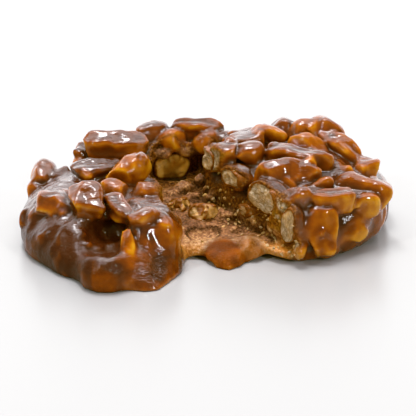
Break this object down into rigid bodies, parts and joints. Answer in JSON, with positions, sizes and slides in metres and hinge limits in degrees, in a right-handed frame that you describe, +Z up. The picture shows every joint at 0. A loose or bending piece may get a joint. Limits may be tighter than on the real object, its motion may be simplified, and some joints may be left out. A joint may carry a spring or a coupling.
{
  "type": "pecan praline",
  "caption": "Thick chewy caramel patty packed with pecan pieces, with a bite taken out of its front that shows broken nuts over a thin caramel floor.",
  "frame": {"origin": "on the table under the middle of the patty's box", "axes": "+X to the right and +Y to the back, seen from the bitten side; +Z up"},
  "size_m": [0.0773, 0.0589, 0.0203],
  "materials": {
    "caramel": "wet-looking glossy caramel over pecans",
    "pecan_flesh": "dry, fibrous broken nut"
  },
  "bodies": {
    "root": {"praline_mass": "caramel", "pecan_bitten_tip": "pecan_flesh", "pecan_bitten_upper": "pecan_flesh", "pecan_bitten_front": "pecan_flesh", "pecan_bitten_middle": "pecan_flesh", "pecan_bitten_low": "pecan_flesh", "pecan_bitten_back": "pecan_flesh", "pecan_loose_left": "pecan_flesh", "pecan_loose_middle": "pecan_flesh"}
  },
  "joints": []
}
